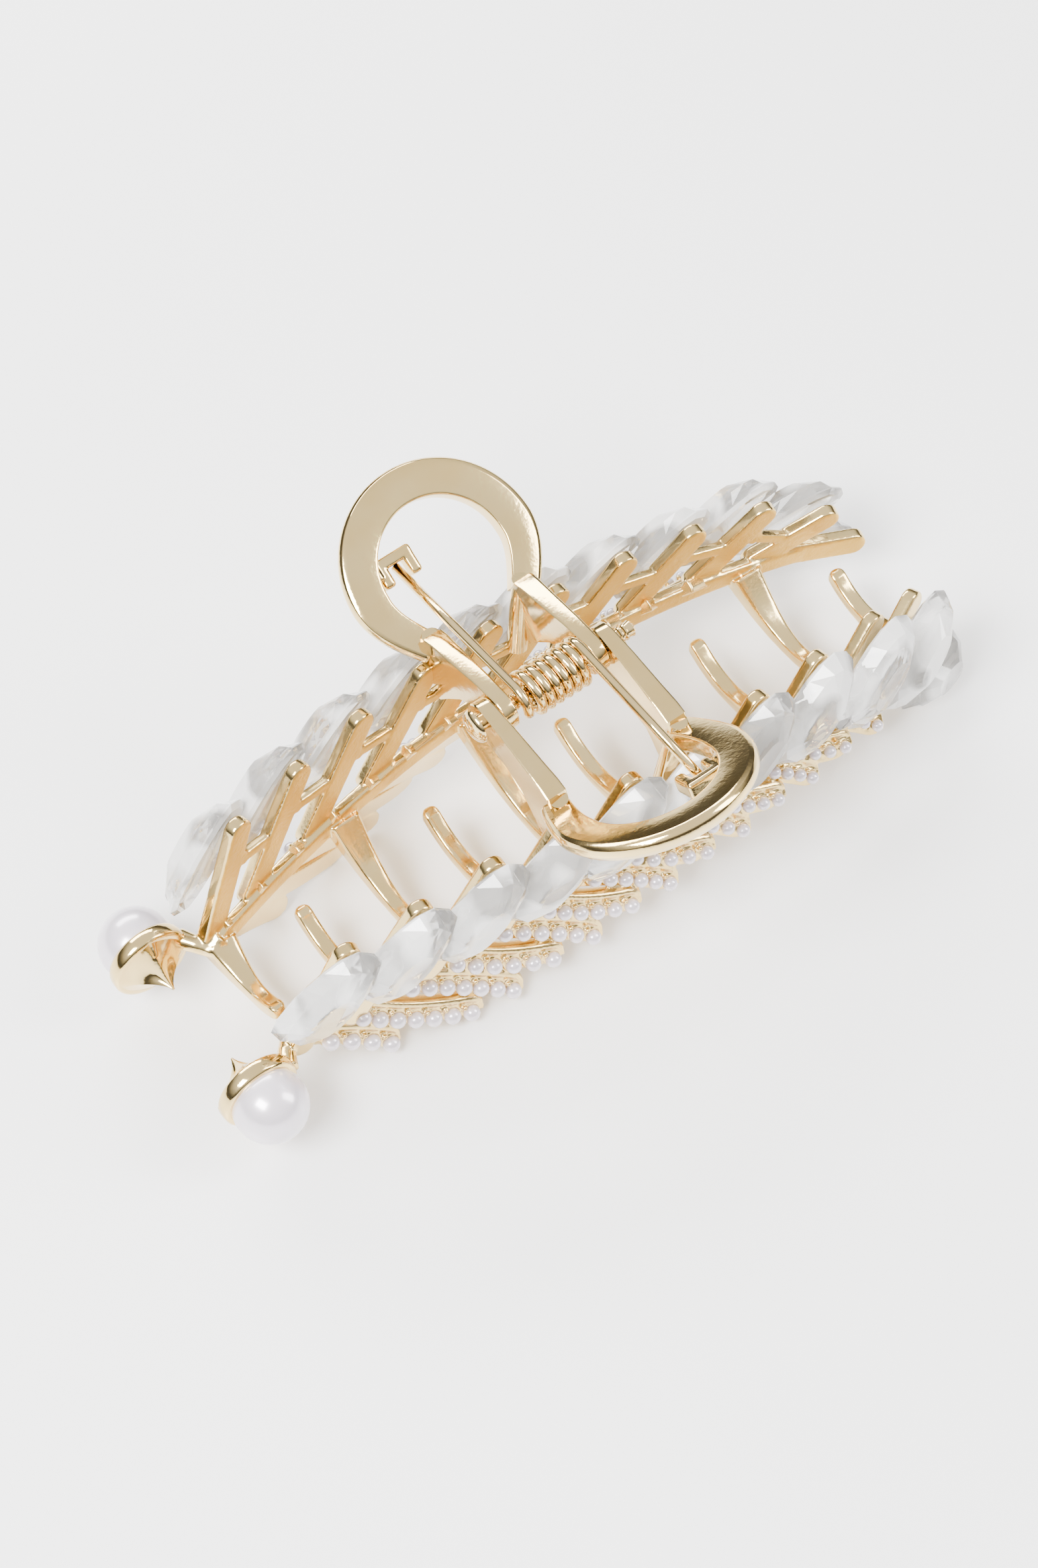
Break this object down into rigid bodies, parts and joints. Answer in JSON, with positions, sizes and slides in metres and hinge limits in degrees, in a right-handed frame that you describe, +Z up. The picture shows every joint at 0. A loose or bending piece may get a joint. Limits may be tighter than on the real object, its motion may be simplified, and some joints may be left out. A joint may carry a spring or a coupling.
{
  "type": "hair claw clip",
  "caption": "Two-jaw spring hair claw clip: arched gold jaws with curved teeth, thumb loops on a hinge pin, crystal and pearl trim.",
  "frame": {"origin": "middle of the underside of the bounding box, on the surface the closed clip rests on", "axes": "+X along the hinge pin towards the pointed end of the jaws, +Y towards the far jaw, +Z up to the thumb loops"},
  "size_m": [0.096, 0.054, 0.0359],
  "materials": {
    "gold_casting": "pale gold plated zinc casting, polished outside and granular inside",
    "gold_pin": "gold plated steel, turned and threaded",
    "gold_spring": "gold plated spring steel wire, bright drawn",
    "crystal": "clear faceted resin crystal with milky zones",
    "end_pearl": "pearl lacquer, satin lustre",
    "small_pearl": "pearl lacquer, satin lustre"
  },
  "bodies": {
    "near_jaw": {"hinge_pin": "gold_pin", "near_claw_casting": "gold_casting", "near_crystal_01": "crystal", "near_crystal_02": "crystal", "near_crystal_03": "crystal", "near_crystal_04": "crystal", "near_crystal_05": "crystal", "near_crystal_06": "crystal", "near_crystal_07": "crystal", "near_crystal_08": "crystal", "near_crystal_09": "crystal", "near_crystal_10": "crystal", "near_crystal_11": "crystal", "near_end_pearl": "end_pearl", "near_pearl_row_01": "small_pearl", "near_pearl_row_02": "small_pearl", "near_pearl_row_03": "small_pearl", "near_pearl_row_04": "small_pearl", "near_pearl_row_05": "small_pearl", "near_pearl_row_06": "small_pearl", "near_pearl_row_07": "small_pearl", "near_pearl_row_08": "small_pearl", "near_pearl_row_09": "small_pearl", "near_pearl_row_10": "small_pearl", "near_pearl_row_11": "small_pearl", "near_pearl_row_12": "small_pearl", "near_pearl_row_13": "small_pearl", "torsion_spring": "gold_spring"},
    "far_jaw": {"far_claw_casting": "gold_casting", "far_crystal_01": "crystal", "far_crystal_02": "crystal", "far_crystal_03": "crystal", "far_crystal_04": "crystal", "far_crystal_05": "crystal", "far_crystal_06": "crystal", "far_crystal_07": "crystal", "far_crystal_08": "crystal", "far_crystal_09": "crystal", "far_crystal_10": "crystal", "far_crystal_11": "crystal", "far_end_pearl": "end_pearl", "far_pearl_row_01": "small_pearl", "far_pearl_row_02": "small_pearl", "far_pearl_row_03": "small_pearl", "far_pearl_row_04": "small_pearl", "far_pearl_row_05": "small_pearl", "far_pearl_row_06": "small_pearl", "far_pearl_row_07": "small_pearl", "far_pearl_row_08": "small_pearl", "far_pearl_row_09": "small_pearl", "far_pearl_row_10": "small_pearl", "far_pearl_row_11": "small_pearl", "far_pearl_row_12": "small_pearl", "far_pearl_row_13": "small_pearl", "torsion_spring_far_leg": "gold_spring"}
  },
  "joints": [
    {"name": "jaw_hinge", "type": "hinge", "parent": "near_jaw", "child": "far_jaw", "pos_m": [0.00057, 0, 0.02864], "axis": [1, 0, 0], "range_deg": [0, 60], "stiffness_Nm_per_rad": 0.05, "springref_deg": -34.38}
  ]
}
